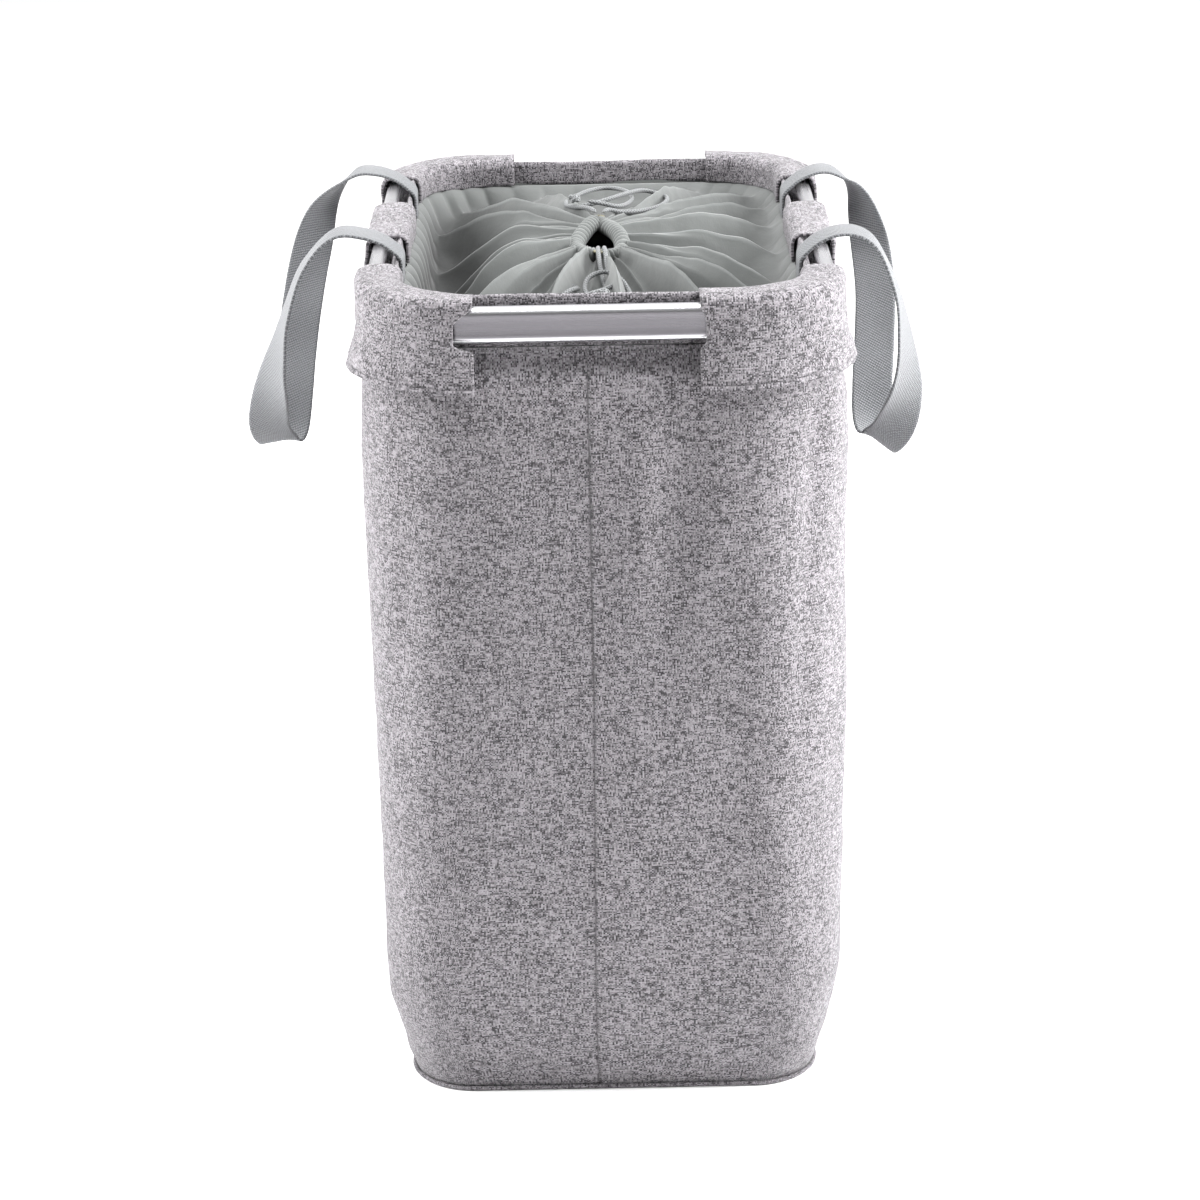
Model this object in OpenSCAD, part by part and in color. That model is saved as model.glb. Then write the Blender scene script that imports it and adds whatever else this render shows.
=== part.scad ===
// Laundry hamper: a sewn fabric body that hangs from a flat aluminium rim frame, closed by a
// gathered drawstring cover and carried by two webbing straps.
// Origin: centre of the base, on the floor. +Z is up and the narrow front faces -Y.

/* [Rim frame] */
// Outer width of the frame, left to right
frame_w = 328; // [328:2:394]
// Outer depth of the frame, front to rear
frame_d = 458; // [458:2:550]
// Outer corner radius of the frame
frame_corner_r = 75; // [60:1:75]
// Height of the flat tube
tube_h = 25; // [20:1:30]
// Thickness of the flat tube
tube_t = 12; // [10.5:0.5:15]
// Radius of the tube's rounded edges
tube_edge_r = 5; // [3:0.5:5]
// Wall of the tube
tube_wall = 1.4; // [1:0.1:2]
// Length of the plug that joins the two bent tubes
joint_plug_l = 70; // [50:2:90]
// Diameter of the rivets through the joint
rivet_d = 4; // [3:0.5:5]
// Distance of each rivet from the joint
rivet_from_joint = 20; // [14:1:24]

/* [Body] */
// Height of the hamper, floor to the top of the sleeves
body_h = 600; // [500:10:720]
// How far the foot of the body lies inside the frame's outline
foot_inset = 17; // [8:1:24]
// How far the lower belly stands out past the frame
belly_low_out = 3; // [0:1:6]
// How far the upper belly stands out past the frame
belly_high_out = 7; // [4:1:9]
// How far the wall stands out under the sleeves' lower edge
shoulder_out = 4; // [2:0.5:6]
// Height over which the foot rounds into the belly
foot_rise = 110; // [80:5:140]
// Plan corner radius at the foot
foot_corner_r = 45; // [35:1:60]
// Thickness of the linen-look shell
shell_t = 1.2; // [0.8:0.1:2]
// Thickness of the foam stiffeners
stiffener_t = 2; // [1.5:0.1:3]
// Thickness of the inner lining
lining_t = 0.8; // [0.6:0.1:1.2]
// Thickness of the base fabric
base_fabric_t = 1.6; // [1.2:0.1:2.4]
// Thickness of the base board
base_board_t = 3; // [2:0.5:5]
// Diameter of the piping round the base
piping_d = 3.2; // [2.4:0.2:4]

/* [Hem and sleeves] */
// Gap between the tube and the hem behind it
hem_gap = 8; // [6:0.5:14]
// Thickness of the doubled hem
hem_t = 1.6; // [1.2:0.1:2.4]
// Thickness of the grey facing tape
facing_t = 1; // [0.8:0.1:1.4]
// Height of the sleeves, from their top to the stitched lower edge
sleeve_h = 62; // [54:1:72]
// Thickness of the sleeve fabric
sleeve_t = 1.8; // [1.2:0.1:2.4]
// Half width of the grip windows in the front and the rear
grip_half_w = 76; // [60:1:78]
// Half length of the sleeve in the middle of each long side
side_sleeve_half = 50; // [42:1:60]
// Distance of the corner sleeves' ends from the middle, along the long sides
side_window_end = 140; // [120:1:143]
// How far the cloth has slipped round the frame, seen clockwise from above
cloth_slip = 10; // [0:1:10]

/* [Drawstring cover] */
// Thickness of the gathered cloth
cover_t = 3; // [2:0.5:5]
// How far the cloth's sewn edge lies below the rim
cover_drop = 23; // [20:1:30]
// How far the cloth sags below its sewn edge
cover_sag = 11; // [4:1:24]
// How far the gathered mouth rises over the cloth's sewn edge
mouth_rise = 7; // [2:1:12]
// Half width of the mouth, to the middle of its gathered channel
mouth_half_w = 18; // [14:1:26]
// Half length of the mouth, to the middle of its gathered channel
mouth_half_l = 54; // [40:1:70]
// Diameter of the gathered channel
channel_d = 11; // [8:0.5:13]
// Diameter of the drawcord
cord_d = 3.4; // [2.6:0.2:4]
// Diameter of the cord knots
knot_d = 10; // [8:0.5:12]
// Outer diameter of the cord eyelets
eyelet_d = 9; // [8:0.5:12]
// Bore of the cord eyelets
eyelet_bore = 5; // [4.6:0.2:6]

/* [Straps] */
// Width of the webbing
strap_w = 30; // [24:1:36]
// Thickness of the webbing
strap_t = 2; // [1.4:0.2:2.4]
// Distance of each strap leg from the middle of its side
strap_leg_y = 100; // [88:1:108]
// Height of the straps' turning line over the rim
strap_pivot_rise = 15; // [12:1:20]

/* [Hidden] */
$fn = 48;

fit_gap = 0.2;
sewn_gap = 0.4;
linen = [0.60, 0.58, 0.61];
grey_cloth = [0.60, 0.62, 0.61];
webbing_grey = [0.55, 0.56, 0.58];
aluminium = [0.80, 0.80, 0.82];

// Heights of the rim's pieces
tube_top = body_h - 5;
tube_z = tube_top - tube_h;
sleeve_bottom = body_h - sleeve_h;
shoulder_z = sleeve_bottom + 3;
hem_z = tube_z - 7;
hem_top = body_h - 4;
belly_z = body_h * 0.8;

// Places across the rim, counted outward from the frame's outer face
hem_out = -tube_t - hem_gap;
facing_out = hem_out - hem_t - fit_gap;
cover_out = facing_out - facing_t - fit_gap;

// The cover's sewn edge, with the lining's top seam under it
cover_z = body_h - cover_drop;
lining_top = cover_z - cover_t - sewn_gap;

// Places through the wall, counted inward from the shell's outer face
stiffener_in = shell_t + fit_gap;
lining_in = stiffener_in + stiffener_t + fit_gap;
lining_inner = lining_in + lining_t;
stiffener_drop = 12;

function mix(a, b, t) = a + (b - a) * t;
function share(z, z0, z1) = max(0, min(1, (z - z0) / (z1 - z0)));

// How far the shell stands out past the frame's outline at each height
function wall_out(z) =
    z < foot_rise ? mix(-foot_inset, belly_low_out, sin(90 * z / foot_rise)) :
    z < belly_z ? mix(belly_low_out, belly_high_out, share(z, foot_rise, belly_z)) :
    z < shoulder_z ? mix(belly_high_out, shoulder_out, share(z, belly_z, shoulder_z)) :
    mix(shoulder_out, hem_out, share(z, shoulder_z, hem_z));
function wall_corner(z) =
    mix(foot_corner_r, frame_corner_r + wall_out(z), share(z, 0, body_h / 2));

// A plan outline is [half width, half depth, corner radius, height]
function rim_outline(out, z) =
    [frame_w / 2 + out, frame_d / 2 + out, frame_corner_r + out, z];
function wall_outline(in, z) =
    [frame_w / 2 + wall_out(z) - in, frame_d / 2 + wall_out(z) - in, wall_corner(z) - in, z];

// Stations round an outline: front middle, right, rear, left and back to the front. The cloth's
// own middles lie a slip away from the frame's.
corner_steps = 6;
function corner(o, sx, sy, a0) = [for (k = [0:corner_steps])
    [sx * (o[0] - o[2]) + o[2] * cos(a0 + 90 * k / corner_steps),
     sy * (o[1] - o[2]) + o[2] * sin(a0 + 90 * k / corner_steps), o[3]]];
side_y = [side_window_end, (side_window_end + side_sleeve_half) / 2, side_sleeve_half, 0,
          -side_sleeve_half, -(side_window_end + side_sleeve_half) / 2, -side_window_end];
grip_x = [grip_half_w, grip_half_w / 2, 0, -grip_half_w / 2, -grip_half_w];
function stations(o) = concat(
    [for (k = [2:-1:0]) [grip_x[k] - cloth_slip, -o[1], o[3]]],
    corner(o, 1, -1, -90),
    [for (y = side_y) [o[0], -y - cloth_slip, o[3]]],
    corner(o, 1, 1, 0),
    [for (x = grip_x) [x + cloth_slip, o[1], o[3]]],
    corner(o, -1, 1, 90),
    [for (y = side_y) [-o[0], y + cloth_slip, o[3]]],
    corner(o, -1, -1, 180),
    [for (k = [4:-1:3]) [grip_x[k] - cloth_slip, -o[1], o[3]]]);
station_count = len(stations(rim_outline(0, 0)));
corner_len = corner_steps + 1;
at_grip = 2;
at_side_start = 3 + corner_len;
at_side_middle = at_side_start + 3;
at_rear_start = at_side_start + 7 + corner_len;
at_rear_middle = at_rear_start + 2;
at_left_start = at_rear_start + 5 + corner_len;
at_left_middle = at_left_start + 3;
at_front_left = at_left_start + 7 + corner_len;

// A closed band: a section of outlines, carried from one station to another round the plan.
// A section lists its outer side, then its inner side back again, so its ends close in pairs.
module band(section, first, last) {
    rings = [for (o = section) stations(o)];
    whole = last - first == station_count;
    steps = whole ? station_count : last - first + 1;
    k = len(section);
    points = [for (i = [0:steps - 1]) for (r = rings) r[(first + i) % station_count]];
    sides = [for (i = [0:whole ? steps - 1 : steps - 2]) for (j = [0:k - 1])
        let (a = i * k, b = ((i + 1) % steps) * k, j2 = (j + 1) % k)
        each [[a + j, a + j2, b + j2], [a + j, b + j2, b + j]]];
    end = [for (j = [0:k / 2 - 2]) each [[j, j + 1, k - 1 - j], [j + 1, k - 2 - j, k - 1 - j]]];
    ends = whole ? [] : concat([for (f = end) [f[2], f[1], f[0]]],
                               [for (f = end) [for (v = f) (steps - 1) * k + v]]);
    polyhedron(points = points, faces = concat(sides, ends), convexity = 6);
}

// A layer of the wall between two depths, over a list of heights
module wall_layer(outer_in, inner_in, heights, first, last) {
    n = len(heights);
    band(concat([for (z = heights) wall_outline(outer_in, z)],
                [for (i = [n - 1:-1:0]) wall_outline(inner_in, heights[i])]), first, last);
}

foot_z = base_fabric_t + fit_gap;
foot_heights = [for (t = [0.27, 0.47, 0.71, 1]) foot_rise * t];
belly_heights = [for (t = [1 / 3, 2 / 3, 1]) mix(foot_rise, belly_z, t)];
neck_heights = [shoulder_z, mix(shoulder_z, hem_z, 0.5)];
shell_heights = concat([foot_z, foot_rise * 0.11], foot_heights, belly_heights, neck_heights,
                       [hem_z - fit_gap]);
lining_heights = concat([foot_z, foot_rise * 0.11], foot_heights, belly_heights, neck_heights,
                        [hem_z, lining_top]);
stiffener_heights = concat(foot_heights, belly_heights, [shoulder_z - stiffener_drop]);

module body_panel_left() {
    color(linen) wall_layer(0, shell_t, shell_heights, at_rear_middle, station_count);
}
module body_panel_right() {
    color(linen) wall_layer(0, shell_t, shell_heights, 0, at_rear_middle);
}
module stiffener(first, last) {
    color("white") wall_layer(stiffener_in, stiffener_in + stiffener_t, stiffener_heights,
                              first, last);
}
module stiffener_front() { stiffener(at_front_left, station_count + at_grip); }
module stiffener_right() { stiffener(at_side_start, at_side_start + 6); }
module stiffener_rear() { stiffener(at_rear_start, at_rear_start + 4); }
module stiffener_left() { stiffener(at_left_start, at_left_start + 6); }
module lining() {
    color(grey_cloth) wall_layer(lining_in, lining_inner, lining_heights, 0, station_count);
}

// A flat plate that follows the body's plan at the foot
module foot_plate(in, z, t) {
    o = wall_outline(in, z);
    translate([0, 0, z]) linear_extrude(t) union() {
        square([2 * (o[0] - o[2]), 2 * o[1]], center = true);
        square([2 * o[0], 2 * (o[1] - o[2])], center = true);
        for (sx = [-1, 1], sy = [-1, 1])
            translate([sx * (o[0] - o[2]), sy * (o[1] - o[2])]) circle(o[2]);
    }
}
board_z = base_fabric_t + fit_gap;
lining_base_z = board_z + base_board_t + fit_gap;
module base_panel() { color(linen) foot_plate(fit_gap, 0, base_fabric_t); }
module base_board() {
    color("burlywood") foot_plate(lining_inner + 2 * sewn_gap, board_z, base_board_t);
}
module lining_base() {
    color(grey_cloth) foot_plate(lining_inner + sewn_gap, lining_base_z, lining_t);
}

// One quarter of a ring of constant section round an outline, and its straights
module ring_corner(o, sx, sy, a0) {
    translate([sx * (o[0] - o[2]), sy * (o[1] - o[2]), 0]) rotate([0, 0, a0])
        rotate_extrude(angle = 90, $fn = 96) translate([o[2], 0]) children();
}
module ring_side_x(o, sy, x0, x1) {
    translate([x1, sy * o[1], 0]) rotate([90, 0, sy > 0 ? 90 : -90])
        translate([0, 0, sy > 0 ? x0 - x1 : 0]) linear_extrude(x1 - x0) children();
}
module ring_side_y(o, sx, y0, y1) {
    translate([sx * o[0], y1, 0]) rotate([90, 0, 0]) linear_extrude(y1 - y0)
        mirror([sx > 0 ? 0 : 1, 0]) children();
}

module piping_profile() { circle(piping_d / 2); }
module base_piping() {
    // The wall leans out over the piping, so it stands off by a little more than its radius
    lean = 1.1;
    z = piping_d / 2 + fit_gap;
    o = wall_outline(-lean * piping_d / 2 - sewn_gap, z);
    color(linen) translate([0, 0, z]) {
        ring_corner(o, 1, -1, -90) piping_profile();
        ring_corner(o, 1, 1, 0) piping_profile();
        ring_corner(o, -1, 1, 90) piping_profile();
        ring_corner(o, -1, -1, 180) piping_profile();
        for (sy = [-1, 1]) ring_side_x(o, sy, -(o[0] - o[2]), o[0] - o[2]) piping_profile();
        for (sx = [-1, 1]) ring_side_y(o, sx, -(o[1] - o[2]), o[1] - o[2]) piping_profile();
    }
}

// The frame: two U-bent flat tubes that meet in the middle of the long sides
module rounded_section(t, h, r) {
    square([t - 2 * r, h], center = true);
    square([t, h - 2 * r], center = true);
    for (sx = [-1, 1], sy = [-1, 1]) translate([sx * (t / 2 - r), sy * (h / 2 - r)]) circle(r);
}
tube_middle = rim_outline(-tube_t / 2, 0);
module bent_u(in) {
    o = tube_middle;
    t = tube_t - 2 * in;
    h = tube_h - 2 * in;
    r = tube_edge_r - in;
    ring_corner(o, 1, -1, -90) rounded_section(t, h, r);
    ring_corner(o, -1, -1, 180) rounded_section(t, h, r);
    ring_side_x(o, -1, -(o[0] - o[2]), o[0] - o[2]) rounded_section(t, h, r);
    for (sx = [-1, 1]) ring_side_y(o, sx, -(o[1] - o[2]), in > 0 ? 1 : -fit_gap / 2)
        rounded_section(t, h, r);
}
module rivet_holes(d) {
    for (sx = [-1, 1]) translate([sx * tube_middle[0], -rivet_from_joint, 0])
        rotate([0, 90, 0]) cylinder(h = tube_t + 4, d = d, center = true);
}
module frame_half() {
    color(aluminium) translate([0, 0, tube_z + tube_h / 2]) difference() {
        bent_u(0);
        bent_u(tube_wall);
        rivet_holes(rivet_d + fit_gap);
    }
}
module frame_front_half() { frame_half(); }
module frame_rear_half() { rotate([0, 0, 180]) frame_half(); }
module frame_joint(sx) {
    in = tube_wall + fit_gap;
    color("dimgray") translate([sx * tube_middle[0], 0, tube_z + tube_h / 2]) difference() {
        rotate([90, 0, 0]) linear_extrude(joint_plug_l, center = true)
            rounded_section(tube_t - 2 * in, tube_h - 2 * in, tube_edge_r - in);
        for (sy = [-1, 1]) translate([0, sy * rivet_from_joint, 0]) rotate([0, 90, 0])
            cylinder(h = tube_t, d = rivet_d + fit_gap, center = true);
    }
}
module frame_joint_left() { frame_joint(-1); }
module frame_joint_right() { frame_joint(1); }
module frame_rivets() {
    head_t = sewn_gap;
    color("silver") for (sx = [-1, 1], sy = [-1, 1])
        translate([sx * tube_middle[0], sy * rivet_from_joint, tube_z + tube_h / 2]) rotate([0, 90, 0]) {
            cylinder(h = tube_t, d = rivet_d, center = true);
            for (e = [-1, 1]) translate([0, 0, e * (tube_t + head_t) / 2])
                cylinder(h = head_t, d = rivet_d * 1.8, center = true);
        }
}

// Hem, facing and sleeves
module top_hem() {
    color(linen) band([rim_outline(hem_out, hem_z), rim_outline(hem_out, hem_top),
                       rim_outline(hem_out - hem_t, hem_top), rim_outline(hem_out - hem_t, hem_z)],
                      0, station_count);
}
module facing_tape() {
    inner = facing_out - facing_t;
    color(grey_cloth) band([rim_outline(facing_out, hem_z), rim_outline(facing_out, hem_top),
                            rim_outline(inner, hem_top), rim_outline(inner, hem_z)],
                           0, station_count);
}
// The cloth folds down over the tube: flap, outside of the tube, top and inner edge
sleeve_fold = 1;
sleeve_round = 3;
module sleeve(first, last) {
    flap_in = shoulder_out + sewn_gap;
    tube_out = 2 * sewn_gap;
    under = hem_top + sewn_gap;
    flap_top = shoulder_z + 4;
    color(linen) band([
        wall_outline(-sewn_gap - sleeve_t, sleeve_bottom),
        rim_outline(flap_in + sleeve_t, flap_top + sleeve_fold),
        rim_outline(tube_out + sleeve_t, tube_z + sleeve_fold),
        rim_outline(tube_out + sleeve_t, body_h - sleeve_round),
        rim_outline(tube_out, body_h),
        rim_outline(cover_out + sleeve_fold, body_h),
        rim_outline(cover_out, body_h - sleeve_fold),
        rim_outline(cover_out, under),
        rim_outline(tube_out, under),
        rim_outline(tube_out, tube_z - sleeve_fold),
        rim_outline(flap_in, flap_top),
        wall_outline(-sewn_gap, sleeve_bottom)], first, last);
}
module corner_sleeve_front_right() { sleeve(at_grip, at_side_start); }
module corner_sleeve_rear_right() { sleeve(at_side_start + 6, at_rear_start); }
module corner_sleeve_rear_left() { sleeve(at_rear_start + 4, at_left_start); }
module corner_sleeve_front_left() { sleeve(at_left_start + 6, at_front_left); }
module side_sleeve_right() { sleeve(at_side_middle - 1, at_side_middle + 1); }
module side_sleeve_left() { sleeve(at_left_middle - 1, at_left_middle + 1); }

// Drawstring cover: the cloth runs from its sewn edge, sags and rises to the gathered mouth
mouth_z = cover_z + mouth_rise;
function mouth_point(p, half_w, half_l, z) =
    let (a = atan2(p[1] / frame_d, p[0] / frame_w)) [half_w * cos(a), half_l * sin(a), z];
cover_edge = 0.03;
cover_shares = [0, cover_edge, 0.2, 0.4, 0.6, 0.8, 0.92, 1];
function cover_height(t) =
    cover_z + mouth_rise * t * t - cover_sag * sin(180 * share(t, cover_edge, 1));
function cover_ring(t, drop) =
    let (outer = stations(rim_outline(cover_out, 0)))
    [for (p = outer)
        let (m = mouth_point(p, mouth_half_w + channel_d / 2, mouth_half_l + channel_d / 2, 0))
        [mix(p[0], m[0], t), mix(p[1], m[1], t), cover_height(t) - drop]];
module ring_stack(rings) {
    n = len(rings[0]);
    k = len(rings);
    points = [for (i = [0:n - 1]) for (r = rings) r[i]];
    faces = [for (i = [0:n - 1]) for (j = [0:k - 1])
        let (a = i * k, b = ((i + 1) % n) * k, j2 = (j + 1) % k)
        each [[a + j, a + j2, b + j2], [a + j, b + j2, b + j]]];
    polyhedron(points = points, faces = faces, convexity = 6);
}
module drawstring_cover() {
    n = len(cover_shares);
    color(grey_cloth) ring_stack(concat(
        [for (i = [n - 1:-1:0]) cover_ring(cover_shares[i], cover_t)],
        [for (t = cover_shares) cover_ring(t, 0)]));
}
channel_r = channel_d / 2 - fit_gap;
channel_sides = 8;
module cord_channel() {
    around = stations(rim_outline(cover_out, 0));
    color(grey_cloth) ring_stack([for (j = [0:channel_sides - 1])
        let (c = 360 * (j + 0.5) / channel_sides, out = channel_r * cos(c))
        [for (p = around) mouth_point(p, mouth_half_w + out, mouth_half_l + out,
                                      mouth_z + channel_r * sin(c))]]);
}
eyelet_t = 0.8;
eyelet_z = mouth_z + channel_r;
module cord_eyelets() {
    color("darkkhaki") for (sy = [-1, 1]) translate([0, sy * mouth_half_l, eyelet_z]) difference() {
        cylinder(h = eyelet_t, d = eyelet_d);
        translate([0, 0, -1]) cylinder(h = eyelet_t + 2, d = eyelet_bore);
    }
}

// Smooth line through hand-chosen points
function smooth(p, a, b, c, t) = 0.5 * (2 * a + (b - p) * t + (2 * p - 5 * a + 4 * b - c) * t * t
                                        + (3 * a - p - 3 * b + c) * t * t * t);
function smooth_line(route, steps) = let (n = len(route)) concat(
    [for (i = [0:n - 2]) for (k = [0:steps - 1])
        smooth(route[max(i - 1, 0)], route[i], route[i + 1], route[min(i + 2, n - 1)], k / steps)],
    [route[n - 1]]);
function unit(v) = v / norm(v);
function tangents(line) = let (n = len(line)) [for (i = [0:n - 1])
    let (a = line[max(i - 1, 0)], b = line[min(i + 1, n - 1)])
    unit([b[0] - a[0], b[1] - a[1], b[2] - a[2]])];
module swept(rings) {
    k = len(rings[0]);
    n = len(rings);
    polyhedron(points = [for (r = rings) for (p = r) p],
        faces = concat(
            [for (i = [0:n - 2]) for (j = [0:k - 1])
                let (a = i * k + j, b = i * k + (j + 1) % k) each [[a, a + k, b + k], [a, b + k, b]]],
            [[for (j = [0:k - 1]) j], [for (j = [k - 1:-1:0]) (n - 1) * k + j]]), convexity = 6);
}

// Webbing: a route is [out from the middle, y, height, turn of the width about Z]
module webbing(route, side, steps) {
    line = [for (p = smooth_line(route, steps)) [side * p[0], p[1], p[2], p[3]]];
    dirs = tangents(line);
    swept([for (i = [0:len(line) - 1])
        let (p = [line[i][0], line[i][1], line[i][2]], d = dirs[i],
             w0 = [side * sin(line[i][3]), cos(line[i][3]), 0],
             w = unit(w0 - (w0 * d) * d) * strap_w / 2,
             n = unit(cross(d, w)) * strap_t / 2)
        [p - w - n, p + w - n, p + w + n, p - w + n]]);
}
strap_pivot_out = frame_w / 2;
strap_pivot_z = body_h + strap_pivot_rise;
strap_start_gap = 2.4;
// From one turning point down, round the bottom of the loop and up to the other
left_route = [[2, 0, 0, 0], [18, 0, 1, 0], [32, -2, -8, 0], [46, -6, -26, 4], [56, -12, -50, 8],
              [64, -20, -76, 15], [71, -32, -104, 30], [78, -48, -134, 55], [82, -60, -158, 80],
              [80, -73, -169, 90], [74, -88, -172, 90], [70, -102, -166, 92], [67, -115, -146, 95],
              [65, -128, -122, 98], [61, -148, -92, 102], [55, -174, -60, 112], [46, -190, -32, 136],
              [33, -199, -12, 162], [18, -200, 0, 178], [2, -200, 0, 180]];
right_route = [[2, 0, 0, 0], [16, 0, -1, 0], [28, -2, -10, 2], [38, -6, -30, 5], [46, -12, -54, 10],
               [51, -20, -82, 20], [54, -32, -110, 35], [54, -46, -138, 60], [50, -60, -162, 82],
               [44, -74, -174, 90], [38, -92, -176, 90], [35, -106, -166, 92], [37, -118, -144, 95],
               [40, -134, -114, 98], [42, -156, -84, 104], [40, -178, -56, 116], [34, -191, -30, 140],
               [26, -199, -12, 164], [14, -200, -2, 178], [2, -200, 0, 180]];
// The loop's own y runs from the front leg, 0, to the rear leg, -200, so it stretches with the legs
function strap_route(route, side) = [for (p = route)
    [strap_pivot_out + p[0] + strap_start_gap / 2,
     -strap_leg_y - p[1] * strap_leg_y / 100 - side * cloth_slip, strap_pivot_z + p[2], p[3]]];
module strap_left() { color(webbing_grey) webbing(strap_route(left_route, -1), -1, 3); }
module strap_right() { color(webbing_grey) webbing(strap_route(right_route, 1), 1, 3); }

// Each end is sewn inside the hem and comes up over it to the turning line
strap_end_out = frame_w / 2 + cover_out - strap_t / 2 - fit_gap;
strap_tip_out = strap_pivot_out - strap_start_gap - strap_t / 2;
module strap_ends(side) {
    for (sy = [-1, 1]) let (y = sy * strap_leg_y - side * cloth_slip)
        color(webbing_grey) webbing(
            [[strap_end_out, y, cover_z + sleeve_round, 0],
             [strap_end_out - fit_gap, y, hem_top - sleeve_round, 0],
             [strap_end_out + fit_gap, y, hem_top + strap_t, 0],
             [mix(strap_end_out, strap_tip_out, 0.35), y, mix(hem_top, strap_pivot_z, 0.55), 0],
             [strap_tip_out, y, strap_pivot_z, 0]], side, 3);
}
module strap_ends_left() { strap_ends(-1); }
module strap_ends_right() { strap_ends(1); }

// Drawcords: each leaves its eyelet and lies on the cover. Heights count from the mouth's height.
front_long_route = [[-1, 0, 9], [-1, -10, 8], [0, -24, 2], [2, -42, -5], [5, -60, -9], [8, -78, -9],
                    [13, -92, -8], [20, -88, -7], [20, -70, -6], [14, -54, -1], [4, -46, 2],
                    [-7, -54, 1], [-11, -68, -3], [-8, -84, -6], [-2, -93, -5]];
front_short_route = [[3, 0, 9], [4, -10, 8], [5, -24, 2], [7, -42, -5], [10, -58, -4], [9, -72, -1],
                     [2, -84, -1], [-8, -91, -2], [-18, -84, -6], [-25, -72, -6], [-26, -60, -6],
                     [-19, -55, -6], [-16, -64, -5], [-20, -78, -2], [-28, -88, -4]];
rear_long_route = [[-2, 0, 9], [-6, 8, 10], [-12, 18, 9], [-18, 28, 7], [-24, 42, 5], [-24, 60, 4],
                   [-18, 80, 3], [-8, 98, 3], [4, 108, 3], [16, 104, 3], [24, 90, 3], [26, 70, 3],
                   [22, 48, 4], [14, 32, 6], [2, 26, 10], [-8, 24, 12]];
rear_short_route = [[3, 0, 9], [8, 8, 9], [16, 14, 6], [28, 22, 4], [40, 34, 3], [50, 50, 3],
                    [53, 70, 3], [46, 86, 3], [34, 84, 6], [22, 66, 8], [8, 48, 8], [-6, 40, 6],
                    [-14, 44, 4]];
function cord_line(route, sy) =
    smooth_line([for (p = route) [p[0], sy * mouth_half_l + p[1], mouth_z + p[2]]], 4);
cord_sides = 8;
module cord(route, sy) {
    line = cord_line(route, sy);
    dirs = tangents(line);
    color(webbing_grey) swept([for (i = [0:len(line) - 1])
        let (d = dirs[i], side = unit(cross(d, [0, 0.1, 1])), up = cross(side, d))
        [for (j = [0:cord_sides - 1])
            let (a = -360 * j / cord_sides)
            line[i] + cord_d / 2 * (cos(a) * side + sin(a) * up)]]);
}
module drawcord_front_long() { cord(front_long_route, -1); }
module drawcord_front_short() { cord(front_short_route, -1); }
module drawcord_rear_long() { cord(rear_long_route, 1); }
module drawcord_rear_short() { cord(rear_short_route, 1); }
module knot_front() {
    color(webbing_grey) translate([2, -mouth_half_l - 98, mouth_z]) sphere(d = knot_d);
}
module knot_rear() {
    color(webbing_grey) translate([-18, mouth_half_l + 26, mouth_z + 14]) sphere(d = knot_d);
}

base_panel();
base_board();
base_piping();
lining_base();
lining();
body_panel_left();
body_panel_right();
stiffener_front();
stiffener_rear();
stiffener_left();
stiffener_right();
frame_front_half();
frame_rear_half();
frame_joint_left();
frame_joint_right();
frame_rivets();
top_hem();
facing_tape();
corner_sleeve_front_left();
corner_sleeve_front_right();
corner_sleeve_rear_left();
corner_sleeve_rear_right();
side_sleeve_left();
side_sleeve_right();
strap_ends_left();
strap_ends_right();
drawstring_cover();
cord_channel();
cord_eyelets();
drawcord_front_long();
drawcord_front_short();
drawcord_rear_long();
drawcord_rear_short();
knot_front();
knot_rear();
strap_left();
strap_right();
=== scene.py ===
"""Laundry hamper: the sewn pieces, webbing, cords and finishes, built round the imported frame."""
import math

import bmesh
import bpy
import numpy as np
from mathutils import Matrix, Vector


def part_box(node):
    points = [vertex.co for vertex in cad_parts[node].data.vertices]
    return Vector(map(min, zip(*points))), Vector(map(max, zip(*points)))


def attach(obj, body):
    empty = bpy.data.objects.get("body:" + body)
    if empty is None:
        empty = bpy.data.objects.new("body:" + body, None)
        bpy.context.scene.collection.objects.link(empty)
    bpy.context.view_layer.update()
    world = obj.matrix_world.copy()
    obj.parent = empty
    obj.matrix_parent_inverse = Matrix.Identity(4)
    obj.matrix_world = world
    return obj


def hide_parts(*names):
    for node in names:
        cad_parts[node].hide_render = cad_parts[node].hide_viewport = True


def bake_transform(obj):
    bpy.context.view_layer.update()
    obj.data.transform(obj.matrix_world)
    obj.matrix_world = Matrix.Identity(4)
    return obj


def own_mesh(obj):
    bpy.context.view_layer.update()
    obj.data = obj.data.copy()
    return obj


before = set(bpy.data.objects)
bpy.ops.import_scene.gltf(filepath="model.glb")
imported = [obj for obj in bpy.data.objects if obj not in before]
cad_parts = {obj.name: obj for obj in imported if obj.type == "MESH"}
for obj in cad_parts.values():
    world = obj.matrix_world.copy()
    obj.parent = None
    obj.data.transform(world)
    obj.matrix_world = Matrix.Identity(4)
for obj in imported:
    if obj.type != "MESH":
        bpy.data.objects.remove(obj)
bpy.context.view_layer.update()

MM = 0.001

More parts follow.
